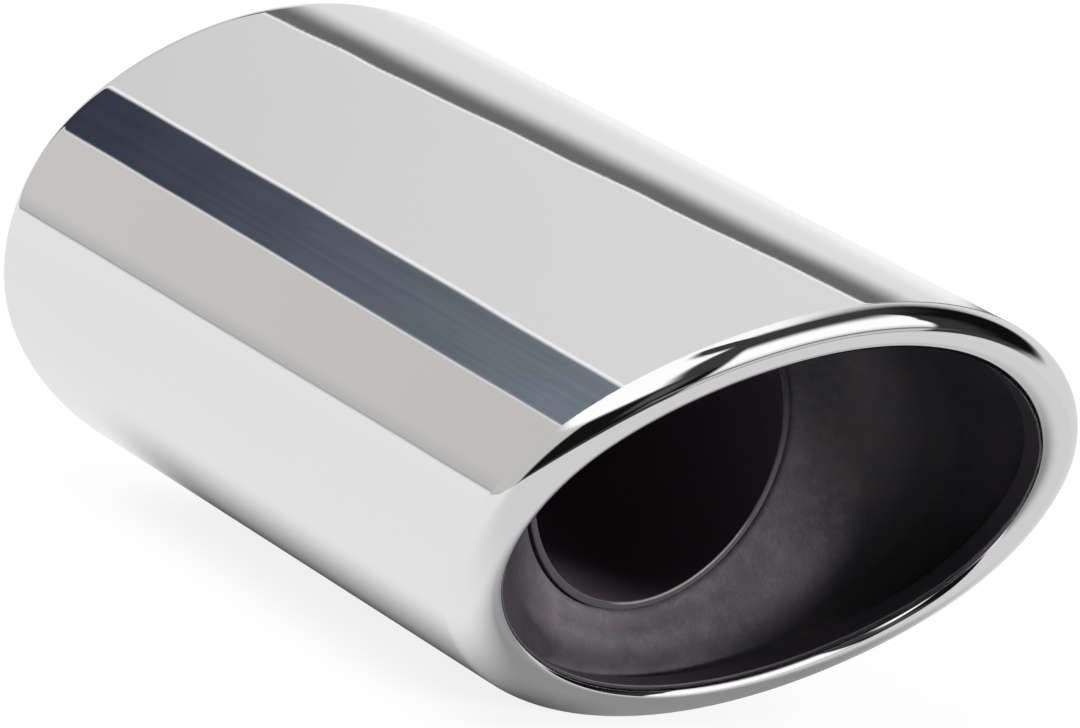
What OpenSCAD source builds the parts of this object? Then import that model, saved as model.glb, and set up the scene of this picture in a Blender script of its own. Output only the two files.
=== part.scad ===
// Oval exhaust tip: a polished sheet shell with a slanted rolled lip, a dished baffle tucked
// under the lip, and a round inlet pipe clamped to the car's tail pipe by two bolts.
// Origin: centre of the inlet pipe's rear end. +Y leaves the pipe to the rear, +Z is up.

/* [Outer shell] */
// Width of the oval body
body_w = 130; // [115:1:160]
// Height of the oval body
body_h = 93; // [84:1:106]
// Radius of the rounded left and right sides of the oval
side_r = 34.3; // [29:0.1:38]
// Length at mid-height, from the front of the lip to the rear edge
body_len = 145; // [125:1:220]
// Lean of the mouth, with the top further forward than the bottom
mouth_slant = 25.5; // [0:0.5:28]
// Thickness of the shell's sheet
shell_t = 1.2; // [1:0.1:1.5]
// Radius of the turned-in rear edge
rear_r = 2.5; // [2:0.1:4]

/* [Rolled lip] */
// Radius of the large round from the body into the lip
lip_r = 6.2; // [5:0.1:8]
// How far the large round turns before the tight crest takes over
lip_turn = 75; // [60:1:85]
// Outside radius of the tight crest at the mouth's edge
crest_r = 2.8; // [1.9:0.1:3.4]
// Straight length of the sheet that returns into the mouth
return_len = 4; // [3:0.1:6]

/* [Inner baffle] */
// Thickness of the baffle's sheet
baffle_t = 1.5; // [1.2:0.1:2]
// How far the baffle's flange tucks behind the lip's return
flange_lap = 2.6; // [2:0.1:4]
// Gap between the flange and the return
flange_gap = 0.3; // [0.2:0.05:0.5]
// Distance of the dish's bend from the outside of the body
bend_inset = 10; // [9:0.1:12]
// Depth of the dish's bend behind the lip at mid-height
bend_depth = 19; // [16:0.5:22]
// Lean of the dish's bend
bend_slant = 13; // [8:0.5:14]
// Depth of the dish's middle behind the lip at mid-height
dish_depth = 33; // [31:0.5:42]
// Radius of the round from the dish into the collar
collar_round = 2; // [1.6:0.1:3]
// Length of the straight collar behind its round
collar_len = 8; // [6:0.5:15]

/* [Inlet pipe] */
// Inside radius of the inlet pipe
pipe_in_r = 27.8; // [24:0.1:30]
// Wall of the inlet pipe
pipe_t = 1.5; // [1.2:0.1:2]
// Gap between the pipe and the collar around it
pipe_gap = 0.2; // [0.1:0.05:0.4]
// How far the pipe's front end stands behind the dish's middle
pipe_sink = 0.5; // [0:0.1:1.5]
// How far the pipe's rear end lies inside the shell's rear edge
pipe_inset = 8; // [4:1:20]

/* [Clamp bolts] */
// Thread diameter of the clamp bolts
bolt_d = 8; // [6:1:8]
// Length of a bolt under its head
bolt_len = 11; // [10:0.5:13]
// Width across the flats of a bolt head
head_af = 13; // [11:0.5:14]
// Height of a bolt head
head_h = 5.3; // [4:0.1:6]
// Width across the flats of a weld nut
nut_af = 14; // [13:0.5:15]
// Height of a weld nut
nut_h = 6.5; // [5:0.1:7]
// Angle of each bolt below the horizontal
bolt_angle = 35; // [25:1:40]
// Distance from the pipe's rear end to the bolts' axes
bolt_back = 16; // [12:1:25]
// Clearance around a bolt in its nut and in the pipe's wall
bolt_gap = 0.15; // [0.1:0.05:0.3]

/* [Smoothness] */
// Steps along each side arc of a quarter of the oval
side_steps = 10; // [6:1:14]
// Steps along each crown arc of a quarter of the oval
crown_steps = 10; // [6:1:14]
// Steps around the lip's large round
lip_steps = 6; // [4:1:8]
// Steps around each small round
round_steps = 4; // [3:1:6]

/* [Hidden] */
$fn = 96;
eps = 0.01;

// The oval has four centres: two side arcs joined smoothly by two flatter crown arcs
half_w = body_w / 2;
half_h = body_h / 2;
crown_r = (half_w * half_w + half_h * half_h - 2 * side_r * half_w) / (2 * (half_h - side_r));
side_x = half_w - side_r;
crown_z = crown_r - half_h;
join_angle = atan2(crown_z, side_x);

rear_y = pipe_inset;
front_y = rear_y - body_len;

// How far the lip reaches inwards, and how far its crest's end lies behind its front
lip_in = lip_r * (1 - cos(lip_turn)) + crest_r * (1 + cos(lip_turn));
lip_front = lip_r * sin(lip_turn) + crest_r * (1 - sin(lip_turn));
return_end = crest_r + return_len;

flange_inset = lip_in - shell_t - flange_gap;
flange_front = return_end - flange_lap;
flange_back = return_end + 1.5;

pipe_out_r = pipe_in_r + pipe_t;
collar_r = pipe_out_r + pipe_gap;
collar_back = dish_depth + collar_round + collar_len;
pipe_front_y = front_y + dish_depth + pipe_sink;

bolt_r = bolt_d / 2;
tip_recess = 0.4;
tip_chamfer = 0.6;

// Normal angles round one quarter of the oval, and then round all of it
quarter = concat(
    [for (i = [0 : side_steps - 1]) join_angle * i / side_steps],
    [for (i = [0 : crown_steps]) join_angle + (90 - join_angle) * i / crown_steps]);
last = len(quarter) - 1;
angles = concat(
    [for (i = [0 : last - 1]) quarter[i]],
    [for (i = [last : -1 : 1]) 180 - quarter[i]],
    [for (i = [0 : last - 1]) 180 + quarter[i]],
    [for (i = [last : -1 : 1]) 360 - quarter[i]]);

function side_sign(v) = v < 0 ? -1 : 1;

// Point of the oval whose outward normal has this angle, moved inwards by inset
function oval(angle, inset) =
    let (
        c = abs(cos(angle)),
        s = abs(sin(angle)),
        on_side = atan2(s, c) <= join_angle + eps,
        x = on_side ? side_x + (side_r - inset) * c : (crown_r - inset) * c,
        z = on_side ? (side_r - inset) * s : (crown_r - inset) * s - crown_z)
    [x * side_sign(cos(angle)), z * side_sign(sin(angle))];

function ring(angle, radius) = [radius * cos(angle), radius * sin(angle)];

// A station is [blend from oval to circle, inset, radius, depth behind the lip, lean]
function station_point(angle, st, out) =
    let (p = (1 - st[0]) * oval(angle, st[1] - out) + st[0] * ring(angle, st[2] + out))
    [p[0], front_y + st[3] - p[1] * tan(st[4]), p[1]];

// Closed skin over a loop of rings, each with one point for every normal angle
module skin(rings) {
    m = len(rings);
    n = len(rings[0]);
    points = [for (r = rings) each r];
    faces = [for (i = [0 : m - 1]) for (j = [0 : n - 1])
        let (a = i * n + j, b = i * n + (j + 1) % n, c = (i + 1) % m * n + (j + 1) % n, d = (i + 1) % m * n + j)
        each [[a, c, b], [a, d, c]]];
    polyhedron(points = points, faces = faces, convexity = 6);
}

// Profile of the shell's outside: [inset, distance behind the lip's front], moved in by thickness t
function lip_profile(t) = concat(
    [for (i = [0 : lip_steps])
        let (a = lip_turn * i / lip_steps)
        [lip_r - (lip_r - t) * cos(a), lip_front - (lip_r - t) * sin(a)]],
    [for (i = [1 : 2 * round_steps])
        let (a = lip_turn + (180 - lip_turn) * i / (2 * round_steps))
        [lip_in - crest_r - (crest_r - t) * cos(a), crest_r - (crest_r - t) * sin(a)]],
    [[lip_in - t, return_end]]);

function front_ring(p) =
    [for (a = angles) let (q = oval(a, p[0])) [q[0], front_y + p[1] - q[1] * tan(mouth_slant), q[1]]];

function rear_profile(t) =
    [for (i = [0 : round_steps])
        let (a = 90 * (1 - i / round_steps))
        [rear_r - (rear_r - t) * cos(a), rear_r - (rear_r - t) * sin(a)]];

function rear_ring(p) =
    [for (a = angles) let (q = oval(a, p[0])) [q[0], rear_y - p[1], q[1]]];

function reversed(list) = [for (i = [len(list) - 1 : -1 : 0]) list[i]];

module outer_shell() {
    outside = concat(
        [for (p = rear_profile(0)) rear_ring(p)],
        [for (p = lip_profile(0)) front_ring(p)]);
    inside = concat(
        [for (p = rear_profile(shell_t)) rear_ring(p)],
        [for (p = lip_profile(shell_t)) front_ring(p)]);
    color([0.82, 0.83, 0.84]) skin(concat(outside, reversed(inside)));
}

// Stations of the baffle's front face, each with the tilt of its own surface normal
bend = [0, bend_inset, collar_r, bend_depth, bend_slant];
flange_end = [0, flange_inset, collar_r, flange_back, mouth_slant];
dish_middle = [1, bend_inset, collar_r + collar_round, dish_depth, 0];
wall_tilt = 15;
dish_tilt = 62;
wall_share = 0.15;
dish_share = 0.05;

function mix(a, b, t) = a + (b - a) * t;
function curve(a, b, c, t) = mix(mix(a, b, t), mix(b, c, t), t);

baffle_stations = concat(
    [[[0, flange_inset, collar_r, flange_front, mouth_slant], 0], [flange_end, wall_tilt / 2]],
    [for (i = [0 : round_steps])
        let (t = i / round_steps)
        [curve(mix(bend, flange_end, wall_share), bend, mix(bend, dish_middle, dish_share), t),
         mix(wall_tilt, dish_tilt, t)]],
    [[mix(bend, dish_middle, 0.5), dish_tilt]],
    [for (i = [0 : round_steps])
        let (a = mix(dish_tilt, 0, i / round_steps))
        [[1, bend_inset, collar_r + collar_round * (1 - cos(a)),
          dish_depth + collar_round * (1 - sin(a)), 0], a]],
    [[[1, bend_inset, collar_r, collar_back, 0], 0]]);

module inner_baffle() {
    front = [for (s = baffle_stations) [for (a = angles) station_point(a, s[0], 0)]];
    back = [for (s = baffle_stations)
        [for (a = angles)
            station_point(a, s[0], baffle_t * cos(s[1])) + [0, baffle_t * sin(s[1]), 0]]];
    color([0.2, 0.19, 0.2]) skin(concat(front, reversed(back)));
}

// Places children with their own Z along a bolt's axis; side is 1 for right and -1 for left
module at_bolt(side) {
    translate([0, -bolt_back, 0]) rotate([0, side * (90 + bolt_angle), 0]) children();
}

module inlet_pipe() {
    color([0.3, 0.29, 0.29]) difference() {
        rotate([90, 0, 0]) cylinder(h = -pipe_front_y, r = pipe_out_r);
        translate([0, eps, 0]) rotate([90, 0, 0]) cylinder(h = 2 * eps - pipe_front_y, r = pipe_in_r);
        for (side = [-1, 1]) at_bolt(side)
            translate([0, 0, pipe_in_r / 2]) cylinder(h = pipe_out_r, r = bolt_r + bolt_gap);
    }
}

module hexagon(across_flats, height) {
    cylinder(h = height, r = across_flats / sqrt(3), $fn = 6);
}

// Weld nut with its underside hollowed to sit on the round pipe
module weld_nut(side) {
    color([0.55, 0.55, 0.56]) difference() {
        at_bolt(side) translate([0, 0, pipe_in_r]) hexagon(nut_af, pipe_t + nut_h);
        rotate([90, 0, 0]) cylinder(h = 4 * bolt_back, r = pipe_out_r, center = true);
        at_bolt(side) translate([0, 0, pipe_in_r / 2]) cylinder(h = pipe_out_r, r = bolt_r + bolt_gap);
    }
}

module clamp_bolt(side) {
    color([0.62, 0.62, 0.64]) at_bolt(side) translate([0, 0, pipe_in_r + tip_recess]) {
        cylinder(h = tip_chamfer, r1 = bolt_r - tip_chamfer, r2 = bolt_r);
        translate([0, 0, tip_chamfer]) cylinder(h = bolt_len - tip_chamfer, r = bolt_r);
        translate([0, 0, bolt_len]) intersection() {
            hexagon(head_af, head_h);
            cylinder(h = head_h, r1 = head_af / 2 + 2 * head_h, r2 = head_af / 2);
        }
    }
}

outer_shell();
inner_baffle();
inlet_pipe();
weld_nut(-1);  // weld_nut_left
weld_nut(1);  // weld_nut_right
clamp_bolt(-1);  // clamp_bolt_left
clamp_bolt(1);  // clamp_bolt_right
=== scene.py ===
# %% [markdown]
# # An oval exhaust tip
# The object is a slip-on tip for a car's tail pipe: a mirror-polished oval shell whose mouth
# is rolled inwards, a dark dished baffle inside it, and a round inlet pipe with two clamp bolts.
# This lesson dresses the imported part, from the frame that places every piece to the camera.

# %% Load the frame
import math

import bmesh
import bpy
import numpy as np
from mathutils import Matrix, Vector


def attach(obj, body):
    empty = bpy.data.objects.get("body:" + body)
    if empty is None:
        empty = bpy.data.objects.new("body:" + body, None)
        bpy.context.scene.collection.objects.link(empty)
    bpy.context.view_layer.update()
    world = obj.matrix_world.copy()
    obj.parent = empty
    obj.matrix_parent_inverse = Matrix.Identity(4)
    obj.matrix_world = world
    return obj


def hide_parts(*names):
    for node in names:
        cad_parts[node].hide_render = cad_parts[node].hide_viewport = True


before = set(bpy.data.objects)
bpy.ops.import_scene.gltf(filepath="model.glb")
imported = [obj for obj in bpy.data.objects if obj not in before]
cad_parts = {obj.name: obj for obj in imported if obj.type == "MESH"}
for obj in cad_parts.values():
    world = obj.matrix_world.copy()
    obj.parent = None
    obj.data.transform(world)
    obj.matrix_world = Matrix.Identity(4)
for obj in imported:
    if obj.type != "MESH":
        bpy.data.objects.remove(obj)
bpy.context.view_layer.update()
print("nodes:", sorted(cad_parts))

# %% [markdown]
# ## Sizes
# The tip was drawn with a few lengths, and the dressed pieces use the same ones, in metres,
# with the same names. That keeps each dressed piece exactly where its plain one stood. The
# drawing's oval has four centres: two side arcs that meet two flatter crowns. A mirror shows
# the jump between their radii as a kink in every reflection, so the dressed oval eases from
# one radius to the other, within 0.2 mm of the drawn one.

# %% Sizes of the tip
MM = 0.001
BODY_W, BODY_H, SIDE_R = 130 * MM, 93 * MM, 34.3 * MM
BODY_LEN, MOUTH_SLANT, SHELL_T, REAR_R = 145 * MM, math.radians(25.5), 1.2 * MM, 2.5 * MM
LIP_R, LIP_TURN, CREST_R, RETURN_LEN = 6.2 * MM, math.radians(75), 2.8 * MM, 4 * MM
REAR_Y = 8 * MM
FRONT_Y = REAR_Y - BODY_LEN

half_w, half_h = BODY_W / 2, BODY_H / 2
drawn_crown_r = (half_w**2 + half_h**2 - 2 * SIDE_R * half_w) / (2 * (half_h - SIDE_R))
JOIN = math.atan2(drawn_crown_r - half_h, half_w - SIDE_R)
EASE_REACH = math.radians(15)
EASE_START, EASE_END, EASE = JOIN - EASE_REACH, JOIN + EASE_REACH, 2 * EASE_REACH
crown_in_width = (math.sin(EASE_END) - math.sin(EASE_START)) / EASE
tight_in_height = (math.cos(EASE_START) - math.cos(EASE_END)) / EASE
shares = np.array([[1 - crown_in_width, crown_in_width], [tight_in_height, 1 - tight_in_height]])
TIGHT_R, FLAT_R = np.linalg.solve(shares, [half_w, half_h]).tolist()
LIP_IN = LIP_R * (1 - math.cos(LIP_TURN)) + CREST_R * (1 + math.cos(LIP_TURN))
RETURN_END = CREST_R + RETURN_LEN
print(f"radius of the oval: {TIGHT_R / MM:.1f} mm at its sides, {FLAT_R / MM:.1f} mm on its crowns")

# %% [markdown]
# ## Sums in a node tree
# Geometry, materials and the studio around the tip are all made of nodes, and all of them
# need sums. This small class lets a sum be written as in Python: each sign adds one Math
# node and wires it up.


# %% A number in a node tree
class Value:
    """A number that flows through a node tree; a sum of Values adds Math nodes."""

    def __init__(self, tree, socket):
        self.tree, self.socket = tree, socket

    def math(self, operation, *others, swap=False):
        node = self.tree.nodes.new("ShaderNodeMath")
        node.operation = operation
        items = [self, *others][::-1] if swap else [self, *others]
        for slot, item in zip(node.inputs, items):
            feed(self.tree, slot, item)
        return Value(self.tree, node.outputs[0])

    def __add__(self, other): return self.math("ADD", other)
    def __radd__(self, other): return self.math("ADD", other)
    def __sub__(self, other): return self.math("SUBTRACT", other)
    def __rsub__(self, other): return self.math("SUBTRACT", other, swap=True)
    def __mul__(self, other): return self.math("MULTIPLY", other)
    def __truediv__(self, other): return self.math("DIVIDE", other)

    def clamped(self):
        return self.math("MAXIMUM", 0.0).math("MINIMUM", 1.0)

    def rise(self, start, end):
        """0 up to start, 1 from end on, and a soft ramp between."""
        node = self.tree.nodes.new("ShaderNodeMapRange")
        node.interpolation_type = "SMOOTHSTEP"
        feed(self.tree, node.inputs["Value"], self)
        feed(self.tree, node.inputs["From Min"], start)
        feed(self.tree, node.inputs["From Max"], end)
        return Value(self.tree, node.outputs[0])


def feed(tree, slot, item):
    """Puts a Value, a socket or a plain number into a node's input."""
    item = item.socket if isinstance(item, Value) else item
    if isinstance(item, bpy.types.NodeSocket):
        tree.links.new(item, slot)
    else:
        slot.default_value = item


def split(tree, vector):
    """The three parts of a vector, as Values."""
    node = tree.nodes.new("ShaderNodeSeparateXYZ")
    tree.links.new(vector, node.inputs[0])
    return [Value(tree, socket) for socket in node.outputs]


def pick(flag, yes, no):
    """yes where flag is 1 and no where it is 0."""
    return no + flag * (yes - no)


STEEL, WHITE = 0.865, 1.0


def shown(tone):
    """The brightness that polished steel shows as this tone out of 255."""
    return ((tone / 255 + 0.055) / 1.055) ** 2.4 / STEEL


# %% [markdown]
# ## Trees with named inputs
# A Geometry Nodes tree is a recipe, and its named inputs are the sizes someone may turn.
# It runs on a carrier object, and the result is copied out as a plain mesh, which the rest of
# the script works with.


# %% Make a tree and bake it into a mesh
KINDS = {float: "NodeSocketFloat", int: "NodeSocketInt", bpy.types.Material: "NodeSocketMaterial"}


class Recipe:
    """A Geometry Nodes tree, its group input and what was put into each named input."""

    def __init__(self, name, **inputs):
        self.tree = bpy.data.node_groups.new(name, "GeometryNodeTree")
        self.tree.interface.new_socket("Geometry", in_out="OUTPUT", socket_type="NodeSocketGeometry")
        self.settings = {}
        for label, value in inputs.items():
            socket = self.tree.interface.new_socket(
                label.replace("_", " "), in_out="INPUT", socket_type=KINDS[type(value)])
            self.settings[socket.identifier] = value
        self.group = self.tree.nodes.new("NodeGroupInput")
        self.output = self.tree.nodes.new("NodeGroupOutput")

    def value(self, label):
        """What was put into a named input."""
        return Value(self.tree, self.group.outputs[label.replace("_", " ")])

    def node(self, kind, sockets=(), **settings):
        """Adds a node; sockets are (input, item) pairs, and settings are the node's own options."""
        made = self.tree.nodes.new(kind)
        for option, choice in settings.items():
            setattr(made, option, choice)
        for slot, item in sockets:
            feed(self.tree, made.inputs[slot], item)
        return made

    def bake(self, name, shape):
        """Realizes the shape, sets its material, runs the tree and returns a plain mesh object."""
        real = self.node("GeometryNodeRealizeInstances", [(0, shape)])
        material = self.value("Material")
        painted = self.node("GeometryNodeSetMaterial", [(0, real.outputs[0]), ("Material", material)])
        self.tree.links.new(painted.outputs[0], self.output.inputs[0])
        carrier = add(name + "_carrier", bpy.data.meshes.new(name + "_carrier"))
        modifier = carrier.modifiers.new("recipe", "NODES")
        modifier.node_group = self.tree
        for identifier, value in self.settings.items():
            modifier[identifier] = value
        graph = bpy.context.evaluated_depsgraph_get()
        mesh = bpy.data.meshes.new_from_object(carrier.evaluated_get(graph), depsgraph=graph)
        carrier.modifiers.clear()
        bpy.data.objects.remove(carrier)
        return show(name, mesh)


def add(name, data):
    """Puts a mesh, a curve, a lamp or a camera into the scene."""
    made = bpy.data.objects.new(name, data)
    bpy.context.scene.collection.objects.link(made)
    return made


def show(name, mesh):
    """Puts a finished mesh into the scene under its own name."""
    mesh.name = name
    print(f"{name}: {len(mesh.vertices)} points, {len(mesh.polygons)} faces")
    return add(name, mesh)


# %% [markdown]
# ## Finishes
# Every finish starts as a Principled surface. Its pattern is read from Object coordinates,
# which are metres here, so a grain keeps its real size on each piece. Numbers that are the
# same all over a surface are set on the shader itself.


# %% Start a finish
class Finish:
    """A material with a Principled surface and patterns in real metres."""

    def __init__(self, name, **numbers):
        self.material = bpy.data.materials.new(name)
        self.material.use_nodes = True
        self.tree = self.material.node_tree
        self.surface = next(n for n in self.tree.nodes if n.type == "BSDF_PRINCIPLED")
        self.place = self.tree.nodes.new("ShaderNodeTexCoord").outputs["Object"]
        for label, number in numbers.items():
            self.surface.inputs[label.replace("_", " ")].default_value = number

    def noise(self, scale, detail=3.0, roughness=0.5, stretch=None):
        """A cloudy pattern of about 1 / scale metres, stretched along the axes by stretch."""
        place = self.place
        if stretch:
            mapping = self.tree.nodes.new("ShaderNodeMapping")
            mapping.inputs["Scale"].default_value = stretch
            self.tree.links.new(self.place, mapping.inputs["Vector"])
            place = mapping.outputs["Vector"]
        node = self.tree.nodes.new("ShaderNodeTexNoise")
        self.tree.links.new(place, node.inputs["Vector"])
        for label, number in (("Scale", scale), ("Detail", detail), ("Roughness", roughness)):
            node.inputs[label].default_value = number
        return Value(self.tree, node.outputs[0])

    def stored(self, label):
        """A number that was stored on the mesh's own points."""
        node = self.tree.nodes.new("ShaderNodeAttribute")
        node.attribute_name = label
        return Value(self.tree, node.outputs["Fac"])

    def blend(self, share, first, second):
        """A colour that goes from first to second as share goes from 0 to 1."""
        node = self.tree.nodes.new("ShaderNodeMix")
        node.data_type = "RGBA"
        feed(self.tree, node.inputs[0], share)
        for slot, colour in ((node.inputs[6], first), (node.inputs[7], second)):
            feed(self.tree, slot, (*colour, 1) if isinstance(colour, tuple) else colour)
        return node.outputs[2]

    def drive(self, label, item):
        """Lets a Value or a colour set one of the surface's inputs."""
        feed(self.tree, self.surface.inputs[label], item)

    def bump(self, height, distance):
        """Adds a bump on top of those that the surface has."""
        node = self.tree.nodes.new("ShaderNodeBump")
        node.inputs["Distance"].default_value = distance
        node.inputs["Strength"].default_value = 1.0
        feed(self.tree, node.inputs["Height"], height)
        before = self.surface.inputs["Normal"].links
        if before:
            feed(self.tree, node.inputs["Normal"], before[0].from_socket)
        self.drive("Normal", node.outputs[0])


# %% [markdown]
# ### Polished stainless steel
# The shell is polished until it mirrors the room. A real polished sheet is never perfectly
# flat: slow waves bend the edges of what it mirrors, and fine wheel marks run round it.
# A metal with very little roughness gives the mirror, and two faint bumps give the rest.
# Only the outside is polished. The sheet's inner side keeps its dull mill skin, so it counts
# as less of a metal. Past the crest the lip's return is coloured a dark matt, a painted dark
# reflection of the dark inside that the polished return mirrors. Both places are numbers
# stored on the mesh.

# %% Polished steel
polished = Finish("polished_steel", Specular_IOR_Level=0.15)
inner_side, past_crest = polished.stored("inner_side"), polished.stored("past_crest")
# painted dark reflection: the return past the crest is coloured dark matt in place of what it mirrors
painted_dark_reflection = (past_crest + polished.noise(180.0) * 0.16).rise(0.98, 1.16)
steel_tone = polished.blend(polished.noise(9.0), (0.85, 0.85, 0.86), (0.88, 0.88, 0.885))
satin_tone = polished.blend(inner_side, steel_tone, (0.62, 0.61, 0.60))
polished.drive("Base Color", polished.blend(painted_dark_reflection, satin_tone, (0.045, 0.040, 0.046)))
polished.drive("Metallic", (1.0 - painted_dark_reflection) * (1.0 - inner_side * 0.40))
marks = polished.noise(1500.0, 4.0, 0.65, stretch=(0.04, 1.0, 0.04))
mirror = marks.rise(0.52, 0.72) * 0.035 + polished.noise(30.0) * 0.02 + 0.008
polished.drive("Roughness", mirror + inner_side * 0.30 + painted_dark_reflection * 0.45)
polished.bump(polished.noise(28.0, 1.0), 0.00011)
polished.bump(marks, 0.0000009)

# %% [markdown]
# ### Heat-proof paint
# The baffle is pressed steel under a dark matt paint that gases have stained. The stain is
# cloudy, from warm brown to a purple black, with a crumbly crust and a fine grain. Four noises
# of different size mix the colours, and two fine bumps roughen the paint. Over the stain lies
# painted shade: the bend, the wall and both ends of the oval are darker than the middle of the
# dish, where shade falls in it, and the wall is darkened less along its bottom, which catches
# more light. How far a spot lies from the bend is stored on the mesh when the baffle is made.

# %% Heat paint
heat = Finish("heat_paint", Specular_IOR_Level=0.08)
clouds = heat.noise(48.0, 5.0, 0.62).rise(0.36, 0.66)
patches = heat.noise(110.0, 3.0, 0.55).rise(0.40, 0.64)
dust = heat.noise(1300.0, 2.0, 0.6).rise(0.58, 0.78)
from_bend = heat.stored("from_bend")
# painted shade: darker in the bend, on the upper wall and at both ends of the oval, lighter along the lower
# wall
in_bend = 1.0 - from_bend.math("ABSOLUTE").rise(0.0005, 0.0140)
on_wall = 1.0 - from_bend.rise(-0.0030, 0.0005)
x, _, z = split(heat.tree, heat.place)
ends = (1.0 - x.rise(-0.034, -0.014)) * 0.80 + x.rise(0.010, 0.044) * 0.30
wall_shade = z.rise(-0.036, -0.018) * 0.30 + 0.05
painted_shade = (in_bend * 0.60 + on_wall * wall_shade + ends).math("MINIMUM", 0.78)
stained = heat.blend(clouds, (0.062, 0.057, 0.066), (0.106, 0.092, 0.100))
stained = heat.blend(patches * 0.45, stained, (0.072, 0.072, 0.084))
crust = heat.noise(330.0, 4.0, 0.7).rise(0.46, 0.66)
stained = heat.blend(crust * 0.35, stained, (0.128, 0.110, 0.116))
dusty = heat.blend(dust * 0.35, stained, (0.160, 0.148, 0.152))
heat.drive("Base Color", heat.blend(painted_shade, dusty, (0.010, 0.009, 0.012)))
heat.drive("Roughness", clouds * 0.14 + 0.46)
heat.bump(heat.noise(1400.0, 3.0), 0.00010)
heat.bump(heat.noise(160.0, 2.0), 0.00015)

# %% [markdown]
# ### Drawn tube, soot and cut ends
# The inlet pipe is plain drawn tube. Its outside is dull grey with marks along its length,
# its inside is black with soot. Its front end got some of the baffle's paint, all but the lower
# right of its inner edge: that strip is left bare metal as a painted highlight, placed where the
# edge catches the light, so the edge glints there and nowhere else. One material does all of it:
# how far a spot lies from the axis tells inside from outside, and its Y tells the ends.

# %% Pipe steel
PIPE_IN, PIPE_OUT, PIPE_FRONT = 27.8 * MM, 29.3 * MM, FRONT_Y + 33.5 * MM
tube = Finish("pipe_steel", Specular_IOR_Level=0.12)
x, y, z = split(tube.tree, tube.place)
from_axis = (x * x + z * z).math("SQRT")
inside = 1.0 - from_axis.rise(PIPE_IN + 0.02 * MM, PIPE_IN + 0.10 * MM)
front_end = 1.0 - y.rise(PIPE_FRONT + 0.8 * MM, PIPE_FRONT + 1.6 * MM)
edge = 1.0 - from_axis.rise(PIPE_IN + 0.3 * MM, PIPE_IN + 0.5 * MM)
# painted highlight: only the lower right of the inner edge stays bare metal, where it catches the light;
# elsewhere it is painted dark
HIGHLIGHT_X, HIGHLIGHT_Z = 0.50, -0.866
highlight_side = ((x * HIGHLIGHT_X + z * HIGHLIGHT_Z) / from_axis).rise(0.80, 0.95)
painted = front_end * (1.0 - inside) * (1.0 - edge * highlight_side)
coated = (inside + painted).math("MINIMUM", 1.0)
drawn = tube.noise(300.0, 4.0, 0.6, stretch=(1.0, 0.06, 1.0))
bare = tube.blend(drawn.rise(0.3, 0.7), (0.36, 0.35, 0.34), (0.47, 0.46, 0.45))
sooty = tube.blend(inside, bare, (0.060, 0.048, 0.060))
tube.drive("Base Color", tube.blend(painted, sooty, (0.052, 0.047, 0.053)))
tube.drive("Metallic", 1.0 - coated)
tube.drive("Roughness", coated * 0.45 + drawn * 0.16 + 0.28)
tube.bump(drawn, 0.00003)

# %% [markdown]
# ### Nuts, bolts and weld metal
# The weld nuts are bare steel, the bolts are zinc plated and brighter, and the weld is dull
# with blue and straw heat tints. They differ in colour and roughness only, so one function
# makes them all from two colours and a grain size.


# %% Bare and plated steel
def plain_steel(name, dark, light, grain, rough):
    finish = Finish(name, Metallic=1.0)
    pattern = finish.noise(grain, 4.0, 0.6)
    finish.drive("Base Color", finish.blend(pattern.rise(0.3, 0.7), dark, light))
    finish.drive("Roughness", pattern * 0.2 + rough)
    finish.bump(finish.noise(grain * 4, 2.0), 0.00003)
    return finish.material


nut_steel = plain_steel("nut_steel", (0.36, 0.35, 0.34), (0.52, 0.51, 0.50), 420.0, 0.36)
bolt_zinc = plain_steel("bolt_steel", (0.54, 0.54, 0.55), (0.68, 0.68, 0.69), 300.0, 0.22)
weld_metal = plain_steel("weld_metal", (0.20, 0.19, 0.22), (0.46, 0.43, 0.38), 240.0, 0.34)
print("finishes:", [m.name for m in bpy.data.materials])

# %% [markdown]
# ## The polished shell
# The real shell is one sheet, formed so that every section across it is the same oval, moved
# inwards where the lip rolls over and pushed back by the slant of the mouth. That is a rule,
# so Geometry Nodes can make it: a flat grid of points, where one count runs round the oval
# and the other follows the sheet's profile, and each point is sent to its place by sums.

# %% Count round the oval
HAIR = 0.004 * MM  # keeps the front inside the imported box, and joins points that meet
shell = Recipe(
    "shell_rule", Half_width=half_w, Side_radius=TIGHT_R, Crown_radius=FLAT_R,
    Ease_start=EASE_START, Ease_end=EASE_END, Mouth_slant=MOUTH_SLANT, Sheet=SHELL_T, Rear_radius=REAR_R,
    Lip_radius=LIP_R, Lip_turn=LIP_TURN, Crest_radius=CREST_R, Return_length=RETURN_LEN,
    Rear=REAR_Y, Front=FRONT_Y + HAIR, Material=polished.material)
ARC_STEPS, REAR_STEPS, BODY_STEPS, LIP_STEPS, CREST_STEPS, RETURN_STEPS = 30, 8, 8, 32, 24, 4
ROUND_COUNT = 8 * ARC_STEPS
SHEET_ROWS = REAR_STEPS + BODY_STEPS + LIP_STEPS + CREST_STEPS + RETURN_STEPS + 1

grid = shell.node("GeometryNodeMeshGrid", [
    ("Size X", float(2 * SHEET_ROWS)), ("Size Y", float(ROUND_COUNT)),
    ("Vertices X", 2 * SHEET_ROWS + 1), ("Vertices Y", ROUND_COUNT + 1)])
grid_x, grid_y, _ = split(shell.tree, shell.node("GeometryNodeInputPosition").outputs[0])
row = (grid_x + float(SHEET_ROWS)).math("ROUND")
column = (grid_y + ROUND_COUNT / 2).math("ROUND")

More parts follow.
